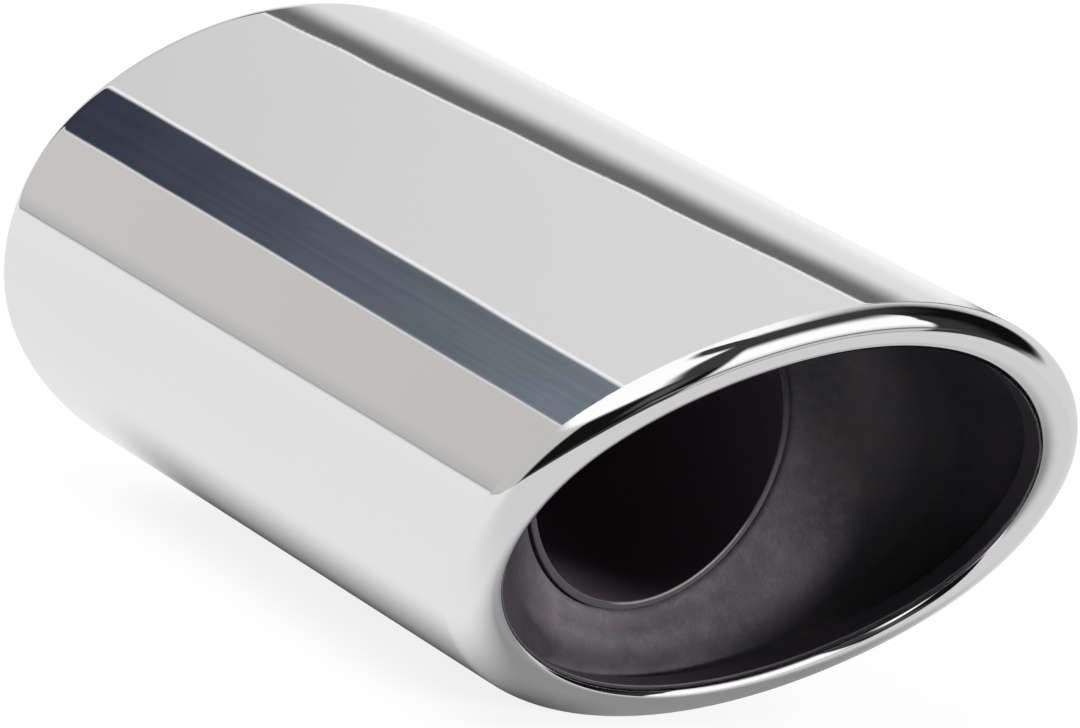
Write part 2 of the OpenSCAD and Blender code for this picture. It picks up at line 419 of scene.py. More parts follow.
quarter = (column / (2.0 * ARC_STEPS)).math("FLOOR")
odd = quarter.math("MODULO", 2.0)
step = column - quarter * (2.0 * ARC_STEPS)
arcs = pick(odd, 2.0 * ARC_STEPS - step, step) / float(ARC_STEPS)
turned = arcs.math("MINIMUM", 1.0) * JOIN + (arcs - 1.0).math("MAXIMUM", 0.0) * (math.pi / 2 - JOIN)
around = (quarter + odd) * (math.pi / 2) + turned * (1.0 - odd * 2.0)
print(f"{ROUND_COUNT} columns round the oval, {2 * SHEET_ROWS} rows along the sheet")

# %% [markdown]
# The rows go along the outside from the rear edge to the end of the return, and back along
# the inside. A row's number tells which arc of the profile it is on: each arc has its own
# share, which runs from 0 to 1 and stays there. The thickness only changes the arcs' radii.
# The first and last strips of the body are very narrow, because smooth shading blends the
# directions of neighbouring faces, and a mirror would show that blend as a bent reflection.

# %% Follow the sheet's profile
is_last = row.math("GREATER_THAN", 2 * SHEET_ROWS - 0.5)
is_inside = row.math("GREATER_THAN", SHEET_ROWS - 0.5) * (1.0 - is_last)
count = pick(is_inside, 2.0 * SHEET_ROWS - 1.0 - row, row * (1.0 - is_last))
sheet = shell.value("Sheet") * is_inside


def share(before, steps):
    """How much of an arc lies behind the point: 0 before the arc, 1 after it."""
    return ((count - float(before)) / float(steps)).clamped()


starts = np.cumsum([0, REAR_STEPS, BODY_STEPS, LIP_STEPS, CREST_STEPS]).tolist()
rear_turn = (1.0 - share(starts[0], REAR_STEPS)) * (math.pi / 2)
STRIP_START, STRIP_END = 0.004, 0.997
body_count = share(starts[1], BODY_STEPS) * float(BODY_STEPS)
body_share = ((body_count - 1.0) / (BODY_STEPS - 2.0)).math("MAXIMUM", STRIP_START)
body_share = body_share.math("MINIMUM", STRIP_END)
body_share = pick(body_count.math("GREATER_THAN", BODY_STEPS - 0.5), 1.0, body_share)
body_share = body_share * body_count.math("GREATER_THAN", 0.5)
lip_turn = shell.value("Lip_turn")
lip_angle = share(starts[2], LIP_STEPS) * lip_turn
crest_angle = pick(share(starts[3], CREST_STEPS), math.pi, lip_turn)
past_lip = count.math("GREATER_THAN", starts[3] + 0.5)

rear_r, lip_r, crest_r = (shell.value(n) for n in ("Rear_radius", "Lip_radius", "Crest_radius"))
lip_cos, lip_sin = lip_turn.math("COSINE"), lip_turn.math("SINE")
lip_in = lip_r * (1.0 - lip_cos) + crest_r * (lip_cos + 1.0)
lip_front = lip_r * lip_sin + crest_r * (1.0 - lip_sin)
rear_inset = rear_r - (rear_r - sheet) * rear_turn.math("COSINE")
rear_back = rear_r - (rear_r - sheet) * rear_turn.math("SINE")
lip_inset = lip_r - (lip_r - sheet) * lip_angle.math("COSINE")
lip_back = lip_front - (lip_r - sheet) * lip_angle.math("SINE")
crest_inset = lip_in - crest_r - (crest_r - sheet) * crest_angle.math("COSINE")
crest_back = crest_r - (crest_r - sheet) * crest_angle.math("SINE")
crest_back = crest_back + share(starts[4], RETURN_STEPS) * shell.value("Return_length")
inset = pick(past_lip, crest_inset, lip_inset) + rear_inset - sheet
back = pick(past_lip, crest_back, lip_back)
return_share = share(starts[3], CREST_STEPS) + share(starts[4], RETURN_STEPS)

# %% [markdown]
# The oval itself is a sum as well. The surface's angle is known for each column, and a curve
# whose radius is known at each angle is found by adding up its small steps. The radius is
# the side's, plus a share of the crown's surplus that grows evenly over the eased stretch.

# %% Place the points and close the skin
ease_start, side_r = shell.value("Ease_start"), shell.value("Side_radius")
ease_span = shell.value("Ease_end") - ease_start
eased = ((turned - ease_start) / ease_span).clamped()
eased_angle = ease_start + eased * ease_span
across, up = turned.math("COSINE"), turned.math("SINE")
surplus = shell.value("Crown_radius") - side_r
surplus_x = (eased_angle.math("SINE") - ease_start.math("SINE")) / ease_span - eased * across
surplus_z = (eased_angle.math("COSINE") - ease_start.math("COSINE")) / ease_span + eased * up
oval_x = shell.value("Half_width") - side_r * (1.0 - across) - surplus * surplus_x - inset * across
oval_z = side_r * up + surplus * surplus_z - inset * up
oval_x = oval_x * around.math("COSINE").math("SIGN")
oval_z = oval_z * around.math("SINE").math("SIGN")
rear_at = shell.value("Rear") - rear_back
front_at = shell.value("Front") + back - oval_z * shell.value("Mouth_slant").math("TANGENT")
oval_y = pick(body_share, front_at, rear_at)

marked = grid
for label, number in (("inner_side", is_inside), ("past_crest", return_share)):
    marked = shell.node("GeometryNodeStoreNamedAttribute", [
        (0, marked.outputs[0]), ("Name", label), ("Value", number)], data_type="FLOAT", domain="POINT")
target = shell.node("ShaderNodeCombineXYZ", [(0, oval_x), (1, oval_y), (2, oval_z)])
placed = shell.node("GeometryNodeSetPosition", [(0, marked.outputs[0]), ("Position", target.outputs[0])])
closed = shell.node("GeometryNodeMergeByDistance", [(0, placed.outputs[0]), ("Distance", HAIR)])
smooth = shell.node("GeometryNodeSetShadeSmooth", [(0, closed.outputs[0])])
bend = shell.node("GeometryNodeInputMeshEdgeAngle").outputs[0]
crease = Value(shell.tree, bend).math("GREATER_THAN", math.radians(50))
sharp = shell.node(
    "GeometryNodeSetShadeSmooth", [(0, smooth.outputs[0]), ("Selection", crease), ("Shade Smooth", False)],
    domain="EDGE")
shell_piece = shell.bake("shell", sharp.outputs[0])


# %% [markdown]
# A closed mesh should have its faces turned outwards. Its volume is the sum of small pyramids
# from the origin to each face, so it also tells which way the faces look: if it comes out
# negative, they are all flipped.


# %% Turn faces outwards
def face_outwards(piece):
    shape = bmesh.new()
    shape.from_mesh(piece.data)
    volume = shape.calc_volume(signed=True)
    loose = sum(1 for e in shape.edges if len(e.link_faces) != 2)
    shape.free()
    if volume < 0:
        piece.data.flip_normals()
    print(f"{piece.name}: {abs(volume) / MM**3:.0f} mm3, {loose} open edges")
    return piece


def dress(piece, slot_name, *nodes):
    """The piece faces outwards, rides on the one body and hides the plain nodes it stands for; slot_name is
    not used.
    """
    face_outwards(piece)
    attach(piece, "root")
    if nodes:
        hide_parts(*nodes)
    return piece


dress(shell_piece, "polished_steel", "outer_shell")


# %% [markdown]
# ## Pieces made of rings
# The baffle, the pipe and the bolts are all skins over a row of rings. A lathe or a press
# makes them so, and in Blender a loft over rings keeps the faces even. Each ring has the
# same number of points, and a closed loop of rings gives the sheet its two sides.


# %% Loft over rings
def loft(name, rings, material, looped=True, creases=45.0):
    """A closed skin over rings of points; unless looped, the first and last ring are capped."""
    rings = np.asarray(rings, float)
    many, wide = rings.shape[:2]
    faces = []
    for i in range(many if looped else many - 1):
        here, there = i * wide, (i + 1) % many * wide
        for j in range(wide):
            k = (j + 1) % wide
            faces.append((here + j, here + k, there + k, there + j))
    if not looped:
        faces.append(tuple(range(wide))[::-1])
        faces.append(tuple((many - 1) * wide + j for j in range(wide)))
    mesh = bpy.data.meshes.new(name)
    mesh.from_pydata(rings.reshape(-1, 3).tolist(), [], faces)
    mesh.materials.append(material)
    mesh.shade_smooth()
    mesh.set_sharp_from_angle(angle=math.radians(creases))
    return show(name, mesh)


def arc_angles(steps):
    """Normal angles round the whole oval, even along each of its arcs."""
    side_part = np.linspace(0, JOIN, steps, endpoint=False)
    first = np.concatenate([side_part, np.linspace(JOIN, math.pi / 2, steps + 1)])
    half = np.concatenate([first[:-1], math.pi - first[:0:-1]])
    return np.concatenate([half, half + math.pi])


def oval(angles, inset):
    """Points of the eased oval, moved inwards by inset."""
    c, s = np.abs(np.cos(angles)), np.abs(np.sin(angles))
    t = np.clip(np.arctan2(s, c), EASE_START, EASE_END)
    eased = (t - EASE_START) / EASE
    surplus_x = (np.sin(t) - math.sin(EASE_START)) / EASE - eased * c
    surplus_z = (np.cos(t) - math.cos(EASE_START)) / EASE + eased * s
    x = half_w - TIGHT_R * (1 - c) - (FLAT_R - TIGHT_R) * surplus_x - inset * c
    z = TIGHT_R * s + (FLAT_R - TIGHT_R) * surplus_z - inset * s
    return x * np.sign(np.cos(angles) + 1e-12), z * np.sign(np.sin(angles) + 1e-12)


# %% [markdown]
# ## The dished baffle
# The baffle is one pressing. Its flange tucks behind the lip's return, a wall runs inwards,
# a soft bend turns it, and a dish leads down to a round collar. A station says how far it
# has changed from oval to circle, how deep it lies and how much it leans. The plain part has
# few stations. Here a smooth curve runs through them, so the paint catches light evenly.

# %% Stations of the baffle
BAFFLE_T, COLLAR_R, COLLAR_ROUND, COLLAR_LEN = 1.5 * MM, 29.5 * MM, 2 * MM, 8 * MM
DISH_DEPTH, BEND_INSET = 33 * MM, 10 * MM
COLLAR_END = DISH_DEPTH + COLLAR_ROUND + COLLAR_LEN
FLANGE_INSET = LIP_IN - SHELL_T - 0.3 * MM
BEND = np.array([0, BEND_INSET, COLLAR_R, 19 * MM, math.radians(13)])
FLANGE_START = np.array([0, FLANGE_INSET, COLLAR_R, RETURN_END - 2.6 * MM, MOUTH_SLANT])
FLANGE_END = np.array([0, FLANGE_INSET, COLLAR_R, RETURN_END + 1.5 * MM, MOUTH_SLANT])
DISH = np.array([1, BEND_INSET, COLLAR_R + COLLAR_ROUND, DISH_DEPTH, 0])
WALL_TILT, DISH_TILT, WALL_SHARE, DISH_SHARE = math.radians(15), math.radians(62), 0.15, 0.05


def mix(a, b, t):
    """a where t is 0 and b where it is 1; numbers and whole stations mix alike."""
    return a + (b - a) * t


def bent(a, b, c, t):
    """A smooth curve from a to c that leans towards b."""
    return mix(mix(a, b, t), mix(b, c, t), t)


stations = [(FLANGE_START, 0), (FLANGE_END, WALL_TILT / 2)]
bend_start, bend_end = mix(BEND, FLANGE_END, WALL_SHARE), mix(BEND, DISH, DISH_SHARE)
BEND_STATIONS = 13
bend_middle = len(stations) + BEND_STATIONS // 2
for t in np.linspace(0, 1, BEND_STATIONS):
    stations.append((bent(bend_start, BEND, bend_end, t), mix(WALL_TILT, DISH_TILT, t)))
for t in np.linspace(DISH_SHARE, 1, 9)[1:-1]:
    stations.append((mix(BEND, DISH, t), DISH_TILT))
for t in np.linspace(DISH_TILT, 0, 9):
    ring_r = COLLAR_R + COLLAR_ROUND * (1 - math.cos(t))
    depth = DISH_DEPTH + COLLAR_ROUND * (1 - math.sin(t))
    stations.append((np.array([1, BEND_INSET, ring_r, depth, 0]), t))
stations.append((np.array([1, BEND_INSET, COLLAR_R, COLLAR_END, 0]), 0))
angles = arc_angles(24)


def baffle_ring(station, tilt, sheet_t):
    """The points of one station, on the sheet's front or, with a thickness, on its back."""
    blend_share, move_in, ring_r, depth, lean = station
    out, behind = sheet_t * math.cos(tilt), sheet_t * math.sin(tilt)
    oval_part = np.stack(oval(angles, move_in - out))
    ring_part = (ring_r + out) * np.stack([np.cos(angles), np.sin(angles)])
    x, z = mix(oval_part, ring_part, blend_share)
    return np.stack([x, FRONT_Y + depth - z * math.tan(lean) + behind, z], axis=1)


front_rings = [baffle_ring(s, tilt, 0) for s, tilt in stations]
back_rings = [baffle_ring(s, tilt, BAFFLE_T) for s, tilt in stations]
steps = [0.0] + [np.linalg.norm(b - a, axis=1).mean() for a, b in zip(front_rings, front_rings[1:])]
along_sheet = np.cumsum(steps) - np.cumsum(steps)[bend_middle]
print("the sheet runs from the bend", round(along_sheet[0] / MM), "to", round(along_sheet[-1] / MM), "mm")
baffle_piece = loft("baffle", front_rings + back_rings[::-1], heat.material)
store = baffle_piece.data.attributes.new("from_bend", "FLOAT", "POINT")
store.data.foreach_set("value", np.repeat(np.concatenate([along_sheet, along_sheet[::-1]]), len(angles)))
dress(baffle_piece, "heat_paint", "inner_baffle")

# %% [markdown]
# ## The inlet pipe
# The pipe is drawn tube, cut square and lightly deburred at both ends. A tube is a loop of
# rings too: out along the outside, round the cut end, and back along the inside. The two
# bolt holes are then cut with a boolean, which gives them clean round rims.

# %% Pipe and its bolt holes
BOLT_R, BOLT_BACK, BOLT_ANGLE, HOLE_GAP = 4 * MM, 16 * MM, math.radians(35), 0.15 * MM
EDGE_R = 0.4 * MM
ROUND_POINTS, BOLT_POINTS = 128, 48
SIDES = ((-1, "left"), (1, "right"))


def circle(count):
    """The angles of even steps round a circle."""
    return np.linspace(0, 2 * math.pi, count, endpoint=False)


def ring_at(radius, y):
    """A ring round the pipe's own axis."""
    turn = circle(ROUND_POINTS)
    return np.stack([radius * np.cos(turn), np.full(ROUND_POINTS, y), radius * np.sin(turn)], axis=1)


def level_ring(reach, height, count):
    """A ring round the Z axis; reach is its radius, or one radius for each point."""
    turn = circle(count)
    return np.stack([reach * np.cos(turn), reach * np.sin(turn), np.full(count, height)], axis=1)


def edge_round(radius, y, to_radius, to_y):
    """Five rings round a deburred edge, from (radius, y) to (to_radius, to_y)."""
    return [ring_at(bent(radius, radius, to_radius, t), bent(y, to_y, to_y, t)) for t in np.linspace(0, 1, 5)]


body_rows = [ring_at(PIPE_OUT, y) for y in np.linspace(PIPE_FRONT + EDGE_R, -EDGE_R, 20)[1:-1]]
bore_rows = [ring_at(PIPE_IN, y) for y in np.linspace(-EDGE_R, PIPE_FRONT + EDGE_R, 20)[1:-1]]
pipe_rings = (
    edge_round(PIPE_OUT, PIPE_FRONT + EDGE_R, PIPE_OUT - EDGE_R, PIPE_FRONT)[::-1] + body_rows
    + edge_round(PIPE_OUT, -EDGE_R, PIPE_OUT - EDGE_R, 0)
    + edge_round(PIPE_IN, -EDGE_R, PIPE_IN + EDGE_R, 0)[::-1] + bore_rows
    + edge_round(PIPE_IN, PIPE_FRONT + EDGE_R, PIPE_IN + EDGE_R, PIPE_FRONT))
pipe_piece = loft("pipe", pipe_rings, tube.material)


def bolt_frame(side):
    """Turns a shape that stands on its own Z axis so that it points outwards along a bolt."""
    return Matrix.Translation((0, -BOLT_BACK, 0)) @ Matrix.Rotation(side * (math.pi / 2 + BOLT_ANGLE), 4, "Y")


def cut(piece, cutter):
    """Takes the cutter's space out of the piece, and removes the cutter."""
    modifier = piece.modifiers.new("cut", "BOOLEAN")
    modifier.operation, modifier.object, modifier.solver = "DIFFERENCE", cutter, "EXACT"
    graph = bpy.context.evaluated_depsgraph_get()
    mesh = bpy.data.meshes.new_from_object(piece.evaluated_get(graph), depsgraph=graph)
    piece.modifiers.clear()
    piece.data = mesh
    bpy.data.objects.remove(cutter)
    mesh.shade_smooth()
    mesh.set_sharp_from_angle(angle=math.radians(35))


def drill_hole(piece, side, start, end, material):
    """Drills one bolt's hole through the piece, between two distances from the pipe's axis."""
    rings = [level_ring(BOLT_R + HOLE_GAP, height, BOLT_POINTS) for height in (start, end)]
    drill = loft("drill", rings, material, looped=False)
    drill.data.transform(bolt_frame(side))
    cut(piece, face_outwards(drill))


for side, _ in SIDES:
    drill_hole(pipe_piece, side, 14 * MM, 40 * MM, tube.material)
dress(pipe_piece, "pipe_steel", "inlet_pipe")

# %% [markdown]
# ## Weld nuts
# A weld nut is a six-sided nut whose underside is hollowed to sit on the round pipe, with
# its top corners turned off at 30 degrees. It is made as a machinist would: a hexagon whose
# corners are limited by a cone, less the pipe and the bore.

# %% Nuts
NUT_AF, NUT_H, NUT_POINTS, UNLIMITED = 14 * MM, 6.5 * MM, 72, 1.0
CHAMFER = math.tan(math.radians(30))


def hex_ring(across_flats, height, cone, count):
    """A hexagonal ring whose corners reach no further than cone."""
    to_side = across_flats / 2 / np.cos(circle(count) % (math.pi / 3) - math.pi / 6)
    return level_ring(np.minimum(to_side, cone), height, count)


for side, label in SIDES:
    top = PIPE_OUT + NUT_H
    rings = [hex_ring(NUT_AF, PIPE_IN, UNLIMITED, NUT_POINTS)]
    for drop in np.linspace(0.6 * MM, 0, 7):
        rings.append(hex_ring(NUT_AF, top - drop, NUT_AF * 0.485 + drop / CHAMFER, NUT_POINTS))
    nut = loft(f"nut_{label}", rings, nut_steel, looped=False, creases=25)
    nut.data.transform(bolt_frame(side))
    face_outwards(nut)
    seat = loft("seat", [ring_at(PIPE_OUT, y) for y in (-60 * MM, 60 * MM)], nut_steel, looped=False)
    cut(nut, face_outwards(seat))
    drill_hole(nut, side, 14 * MM, 50 * MM, nut_steel)
    dress(nut, "nut_steel", f"weld_nut_{label}")

# %% [markdown]
# ## Clamp bolts
# A bolt's thread is a ridge that climbs as it goes round. On rings that means: the radius
# depends on the height minus a share of the turn. The head is a hexagon whose top corners
# are turned off, with a thin round washer face under it.

# %% Bolts
BOLT_LEN, HEAD_AF, HEAD_H, PITCH, THREAD = 11 * MM, 13 * MM, 5.3 * MM, 1.25 * MM, 0.65 * MM
TIP, TIP_BEVEL, WASHER_H = PIPE_IN + 0.4 * MM, 0.6 * MM, 0.3 * MM


def bolt_rings():
    """The threaded shank, whose tip is bevelled and whose thread runs out under the head."""
    rings = []
    for h in np.arange(0, BOLT_LEN + 1e-9, PITCH / 8):
        climb = (h / PITCH - circle(BOLT_POINTS) / (2 * math.pi)) % 1.0
        groove = THREAD * np.clip(np.abs(climb - 0.5) * 2.6 - 0.3, 0, 1)
        run_out = min(1.0, (BOLT_LEN - h) / PITCH)
        reach = np.minimum(BOLT_R - groove * run_out, BOLT_R - TIP_BEVEL + h)
        rings.append(level_ring(reach, TIP + h, BOLT_POINTS))
    return rings


def head_rings():
    """The washer face, the hexagon and the shallow hollow on its top."""
    seat_z, top = TIP + BOLT_LEN, TIP + BOLT_LEN + HEAD_H
    rings = [level_ring(HEAD_AF * 0.465, seat_z + h, BOLT_POINTS) for h in (0, WASHER_H)]
    rings.append(hex_ring(HEAD_AF, seat_z + WASHER_H, UNLIMITED, BOLT_POINTS))
    for drop in np.linspace(0.9 * MM, 0, 7):
        rings.append(hex_ring(HEAD_AF, top - drop, HEAD_AF * 0.475 + drop / CHAMFER, BOLT_POINTS))
    rings.append(level_ring(HEAD_AF * 0.40, top, BOLT_POINTS))
    rings.append(level_ring(HEAD_AF * 0.38, top - 0.15 * MM, BOLT_POINTS))
    return rings


for side, label in SIDES:
    bolt = loft(f"bolt_{label}", bolt_rings() + head_rings(), bolt_zinc, looped=False, creases=35)
    bolt.data.transform(bolt_frame(side))
    dress(bolt, "bolt_steel", f"clamp_bolt_{label}")

# %% [markdown]
# ## Welds
# The collar is welded to the pipe all round, and each nut has short beads at its foot. A bead
# is a row of overlapping coins, laid one after the other along the seam. Geometry Nodes can do
# just that: a curve along the seam, points at the spacing of the coins, one coin on each.


# %% Lay a bead along a seam
def bead(name, seam_points, coin_size, spacing, closed):
    """A weld bead of overlapping coins along a row of points."""
    weld = Recipe(name + "_rule", Coin_radius=coin_size, Spacing=spacing, Seed=7, Material=weld_metal)
    seam = bpy.data.curves.new(name + "_seam", "CURVE")
    seam.dimensions = "3D"
    spline = seam.splines.new("POLY")
    spline.points.add(len(seam_points) - 1)
    for point, place in zip(spline.points, seam_points):
        point.co = (*place, 1)
    spline.use_cyclic_u = closed
    seam_object = add(name + "_seam", seam)
    seam_info = weld.node("GeometryNodeObjectInfo", [("Object", seam_object)])
    dots = weld.node(
        "GeometryNodeCurveToPoints", [(0, seam_info.outputs["Geometry"]), ("Length", weld.value("Spacing"))],
        mode="LENGTH")
    coin_r = weld.value("Coin_radius")
    coin = weld.node("GeometryNodeMeshIcoSphere", [("Radius", coin_r), ("Subdivisions", 3)])
    soft = weld.node("GeometryNodeSetShadeSmooth", [(0, coin.outputs[0])])
    size = weld.node(
        "FunctionNodeRandomValue", [(2, 0.88), (3, 1.10), ("Seed", weld.value("Seed"))], data_type="FLOAT")
    flat = weld.node("ShaderNodeCombineXYZ", [(0, size.outputs[1]), (1, size.outputs[1]), (2, 0.62)])
    laid = weld.node("GeometryNodeInstanceOnPoints", [
        (0, dots.outputs["Points"]), ("Instance", soft.outputs[0]), ("Rotation", dots.outputs["Rotation"]),
        ("Scale", flat.outputs[0])])
    piece = weld.bake(name, laid.outputs[0])
    bpy.data.objects.remove(seam_object)
    return piece


collar_seam = ring_at(30 * MM, FRONT_Y + COLLAR_END + 0.2 * MM).tolist()
dress(bead("collar_weld", collar_seam, 1.5 * MM, 1.3 * MM, True), "pipe_steel")


# %% [markdown]
# The nuts' beads run along the two flats that lie across the pipe. Their seam is where the
# nut's side meets the round pipe, so its points are laid on the pipe's own surface.


# %% Beads at the nuts' feet
def nut_seam(side, end):
    """Points where a nut's flat meets the pipe; end is 1 for the flat nearer the pipe's rear end."""
    points = []
    for t in np.linspace(-0.8, 0.8, 9):
        along, sideways = end * NUT_AF / 2 * 1.02, t * NUT_AF / 2 / math.sqrt(3)
        height = math.sqrt(PIPE_OUT**2 - sideways**2) + 0.1 * MM
        points.append(bolt_frame(side) @ Vector((sideways, along, height)))
    return points


for side, label in SIDES:
    for end, where in ((1, "rear"), (-1, "front")):
        dress(bead(f"nut_weld_{label}_{where}", nut_seam(side, end), 0.95 * MM, 0.9 * MM, False), "nut_steel")

# %% [markdown]
# ## The floor
# The tip lies on a white table. For the camera it is matt white that takes a faint soft
# shadow near the tip and fades into the white of the room further out, so no edge shows.
# Polished steel shows more of it: light reaches the table poorly under the tip and in front
# of its mouth. So rays that steel sends down find a glow that is set by the place on the
# table: dark where the tip stands on it, grey in the shade around that, and pale elsewhere.


# %% White table
def seen_by_eye(tree):
    """Two flags: for rays from the camera or sent on by metal or glass, and for the camera's own."""
    path = tree.nodes.new("ShaderNodeLightPath")
    kinds = ("Is Camera Ray", "Is Glossy Ray", "Is Transmission Ray")
    rays = [Value(tree, path.outputs[kind]) for kind in kinds]
    return (rays[0] + rays[1] + rays[2]).math("MINIMUM", 1.0), rays[0]


TABLE_R, FLOOR_Z, TIP_MIDDLE = 0.24, -BODY_H / 2, 0.07
matt = Finish("white_table", Base_Color=(0.93, 0.93, 0.93, 1), Roughness=1.0, Specular_IOR_Level=0.0)
tree = matt.tree
glow = tree.nodes.new("ShaderNodeEmission")
seen, by_camera = seen_by_eye(tree)
x, y, _ = split(tree, matt.place)
across_tip = x.rise(-0.053, -0.027) * (1.0 - x.rise(0.045, 0.125))
along_tip = y.rise(-0.165, -0.128) * (1.0 - y.rise(-0.020, 0.016))
away = 1.0 - across_tip * along_tip
foot = x.rise(-0.033, -0.020) * (1.0 - x.rise(-0.018, 0.002)) * y.rise(-0.120, -0.108)
near_glow = pick(foot, shown(84), shown(138))
far_glow = pick(y.rise(-0.165, -0.120), pick(x.rise(0.0, 0.060), shown(208), shown(224)), shown(204))
feed(tree, glow.inputs["Strength"], pick(by_camera, WHITE, pick(away, far_glow, near_glow)))
show_glow = pick(by_camera, away * 0.15 + 0.85, 1.0)
both = tree.nodes.new("ShaderNodeMixShader")
for slot, item in zip(both.inputs, (show_glow * seen, matt.surface.outputs[0], glow.outputs[0])):
    feed(tree, slot, item)
end = next(n for n in tree.nodes if n.type == "OUTPUT_MATERIAL")
feed(tree, end.inputs["Surface"], both.outputs[0])

disc = bpy.data.meshes.new("table")
disc_edge = level_ring(TABLE_R, FLOOR_Z, 96) - (0, TIP_MIDDLE, 0)
disc.from_pydata(disc_edge.tolist(), [], [tuple(range(len(disc_edge)))])
disc.materials.append(matt.material)
show("table", disc)

# %% [markdown]
# ## The room that the steel mirrors
# A mirror shows what stands round it, so a polished tip looks like its studio. The matt
# pieces and the table get faint even light from it. Metal sees it with all its furniture.
# A direction in the room is given by its heading, which is 0 in front of the mouth and 90 on
# the tip's right, by its height above the horizon, and by its roll round the tip's own axis.

# %% Directions in the room
room = bpy.data.worlds.new("studio")
bpy.context.scene.world = room
room.use_nodes = True
sky = room.node_tree
direction = sky.nodes.new("ShaderNodeTexCoord").outputs["Generated"]
dx, dy, dz = split(sky, direction)
DEGREE = 180 / math.pi
heading = dx.math("ARCTAN2", dy * -1.0) * DEGREE
height = dz.math("ARCSINE") * DEGREE
roll = (dz.math("ARCTAN2", dx) * DEGREE + 360.0).math("MODULO", 360.0)


def past(value, line, soft):
    """1 where value has passed the line and 0 before it, with an edge as soft as given."""
    return (value - line).rise(-soft, soft)


def between(value, start, end, soft_start, soft_end):
    return past(value, start, soft_start) * (1.0 - past(value, end, soft_end))


def fade(value, start, end, tone_start, tone_end):
    """A brightness that changes from one tone to the other as value goes from start to end."""
    return pick(value.rise(start, end), shown(tone_end), shown(tone_start))


class Panorama:
    """Brightness painted patch over patch, as one Value each for red, green and blue."""

    def __init__(self, tone):
        self.parts = [tone] * 3

    def patch(self, mask, *tones):
        """Paints one tone, or one each for red, green and blue, where mask is 1."""
        tones = tones if len(tones) == 3 else tones * 3
        glows = [t if isinstance(t, Value) else shown(t) for t in tones]
        self.parts = [pick(mask, glow, part) for part, glow in zip(self.parts, glows)]


# %% [markdown]
# The body is a straight tube, so along one line of it all reflections have the same roll.
# That turns the furniture behind the tip into long bands: a pale ceiling, a dark blue gap
# beside it, a cream wall, and on the other side a screen that fades from dark to white.
# Thin bright and dark lines between them are the edges of those panels. The dark gap is not
# quite plain, so a faint noise over the directions makes it a little uneven.

# %% Bands along the body
# Tones at a band's two ends, for red, green and blue.
CREAM, BLUE = ((190, 197), (188, 196), (184, 193)), ((119, 47), (128, 52), (137, 66))
far = 0.77 - dy
gap_start, gap_end = far * 50.0 + 104.0, far * 55.0 + 131.5
screen_edge = 37.0 + (dy - 0.68) * 150.0
bands = Panorama(fade(dy, 0.67, 0.79, 214, 203))
bands.patch(past(roll, gap_end, 0.9), *(fade(dy, 0.67, 0.79, *tones) for tones in CREAM))
texture = sky.nodes.new("ShaderNodeTexNoise")
texture.inputs["Scale"].default_value, texture.inputs["Detail"].default_value = 34.0, 5.0
sky.links.new(direction, texture.inputs["Vector"])
uneven = Value(sky, texture.outputs[0]).rise(0.30, 0.70) * 0.16 + 0.92
blue_gap = between(roll, gap_start, gap_end, 0.7, 0.9)
bands.patch(blue_gap, *(fade(dy, 0.66, 0.775, *tones) * uneven for tones in BLUE))
bands.patch(between(roll, gap_start - 1.6, gap_start - 0.5, 0.3, 0.4), 236)
bands.patch(between(roll, gap_end + 0.4, gap_end + 1.2, 0.3, 0.5), 214)
bands.patch(between(roll, 183, 189, 6, 0.8), 178)
bands.patch(between(roll, 188.2, 189.4, 0.4, 0.4), 158)
bands.patch(past(roll, 189.6, 1.2), 225)
below_edge = screen_edge - roll
bands.patch(past(below_edge, 0.0, 0.6), pick(below_edge.rise(4, 17), shown(216), shown(102)))
bands.patch(between(roll, screen_edge + 0.4, screen_edge + 1.1, 0.25, 0.3), 238)
from_below = (roll + 90.0).math("MODULO", 360.0)
bands.patch(between(from_below, 30, 97, 20, 8), 232)

# %% [markdown]
# The rolled lip turns away from the bands and mirrors the front half of the room: a white
# window between two dark screens, a white ceiling panel on the left, a dark ceiling above
# and pale walls. Leaning edges are lines whose heading changes with the height.

# %% The front half of the room
border = 0.6865 - (dx * 0.0125 + 0.0215) * dx
view = Panorama(fade(heading.math("ABSOLUTE"), 50, 110, 205, 222))
floor_line = ((heading + 134.0) * -0.29 - 7.2).math("MAXIMUM", -20.0)
above_floor = past(height, pick(heading.rise(-94, -78), -17.0, floor_line), 1.2)
view.patch(above_floor, 56)
left_wall = above_floor * (1.0 - past(height, 33.0, 5.0)) * (1.0 - past(heading, -84.0, 5.0))
view.patch(left_wall, 190, 189, 185)
right_wall = past(heading, height * 0.85 + 80.0, 6.0)
view.patch(right_wall * (1.0 - past(height, 30.0, 14.0)), 208)
back_window = past(heading, 136.0, 24.0) * between(height, 22.0, 76.0, 10.0, 8.0)
view.patch(back_window, 250)
panel_top = 79.0 - (heading + 88.0) * (heading + 88.0) * 0.0029
panel_right = -32.0 - (height - 30.0) * 0.72
left_panel = between(height, 31.0, panel_top, 4.0, 3.0)
view.patch(left_panel * (1.0 - past(heading, panel_right, 8.0)), 253)
window_left, window_right = height * -0.30, (42.0 + height * height * 0.0065).math("MAXIMUM", 46.0)
screen_top = 31.0 - (heading + 70.0).math("ABSOLUTE") * 0.18
screen_foot = (heading + 75.0) * 0.08 - 14.0
left_screen = between(heading, -82.0, window_left, 3.5, 3.0)
left_screen = left_screen * between(height, screen_foot, screen_top, 2.5, 5.0)
view.patch(left_screen, 18)
view.patch(left_screen * between(heading, -30, -12, 5, 3) * between(height, 2, 24, 5, 8), 76)
in_window = between(heading, window_left, window_right, 2.0, 1.0)
view.patch(in_window * between(height, -16, 50, 3, 13), fade(height, -6, 10, 196, 253))
view.patch(between(heading, -12, 50, 6, 4) * between(height, -8.5, -3.5, 1.5, 1.5), 118)
right_screen = past(heading, window_right, 1.2) * (1.0 - right_wall)
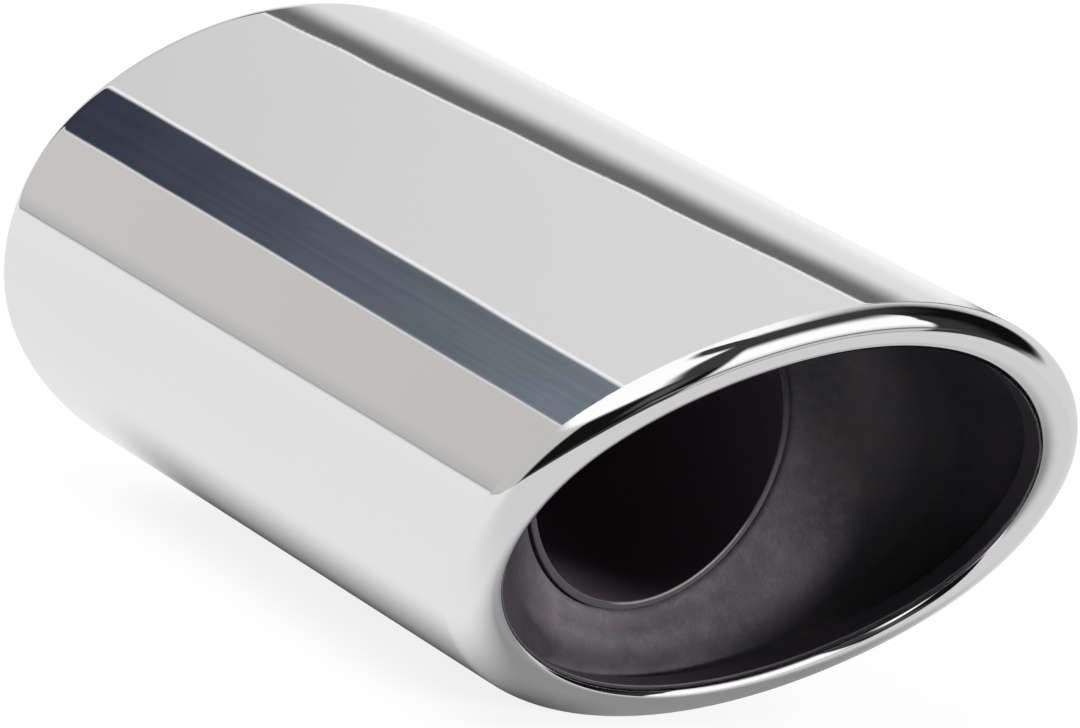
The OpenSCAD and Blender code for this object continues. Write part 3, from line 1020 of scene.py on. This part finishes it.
view.patch(right_screen * between(height, -7, 52, 3, 12), fade(heading, 52, 66, 50, 14))
beside_bands = between(dy, border - 0.035, border - 0.008, 0.006, 0.002)
view.patch(beside_bands * between(from_below, 76, 128, 6, 3), 112)
print("nodes in the room:", len(sky.nodes))

# %% [markdown]
# The room has to be three things at once: white for the camera, the furnished room for
# metal, and faint even light for everything matt. The kind of ray decides which.

# %% Join the three rooms
seen, by_camera = seen_by_eye(sky)
ROOM_LIGHT = 0.10
behind = past(dy, border - 0.006, 0.002)
furnished = [pick(behind, band, part) for band, part in zip(bands.parts, view.parts)]
channels = [pick(by_camera, WHITE, pick(seen, part, ROOM_LIGHT)) for part in furnished]
mixed = sky.nodes.new("ShaderNodeCombineColor")
for slot, channel in zip(mixed.inputs, channels):
    feed(sky, slot, channel)
background = next(n for n in sky.nodes if n.type == "BACKGROUND")
sky.links.new(mixed.outputs[0], background.inputs["Color"])

# %% [markdown]
# ## Lamps
# A strong soft lamp stands low in front of the mouth, to its right, so it shines into the dish
# and leaves the dish's right side dark. A weaker one above gives the table its soft shadow,
# and one behind shines into the open rear end. Steel mirrors the room and not the lamps.


# %% Soft lamp
def soft_lamp(name, place, target, size, power):
    light = bpy.data.lights.new(name, "AREA")
    light.shape, light.size, light.energy = "DISK", size, power
    lamp = add(name, light)
    lamp.location = place
    lamp.rotation_mode = "QUATERNION"
    lamp.rotation_quaternion = (Vector(target) - Vector(place)).to_track_quat("-Z", "Y")
    lamp.visible_glossy = False
    lamp.visible_camera = False


soft_lamp("front", (0.66, -0.97, 0.16), (0, -0.12, 0), 0.30, 21.5)
soft_lamp("top", (0.27, -0.69, 0.90), (0, -0.12, 0), 0.50, 3.6)
soft_lamp("rear", (0.42, 0.86, 0.34), (0, -0.05, 0), 0.45, 7.0)

# %% [markdown]
# ## Camera
# The camera stands about a metre away, to the left of the mouth and a little above, with a
# long lens and a strong roll. The three directions of its own axes were worked out from the
# outlines of the body, the mouth and the throat.

# %% Camera
eye = Vector((-0.6864, -0.7871, 0.2562))
right = Vector((0.74269, -0.61925, 0.25483))
upward = Vector((-0.02598, 0.35362, 0.93503))
forward = Vector((0.66913, 0.70106, -0.24654))
SENSOR, FOCAL_PIXELS, FRAME_PIXELS = 36.0, 5771.5, 1080
lens = bpy.data.cameras.new("camera")
lens.sensor_width, lens.lens = SENSOR, FOCAL_PIXELS / FRAME_PIXELS * SENSOR
lens.clip_start, lens.clip_end = 0.05, 20.0
camera = add("camera", lens)
axes = Matrix((right, upward, -forward)).transposed().to_4x4()
camera.matrix_world = Matrix.Translation(eye) @ axes
bpy.context.scene.camera = camera
bpy.context.scene.view_settings.view_transform = "Standard"
print(f"lens {lens.lens:.1f} mm")

# %% [markdown]
# ## Last step
# The view layer is brought up to date. The dressed part has to stay within the imported
# one.

# %% Update the view layer
bpy.context.view_layer.update()
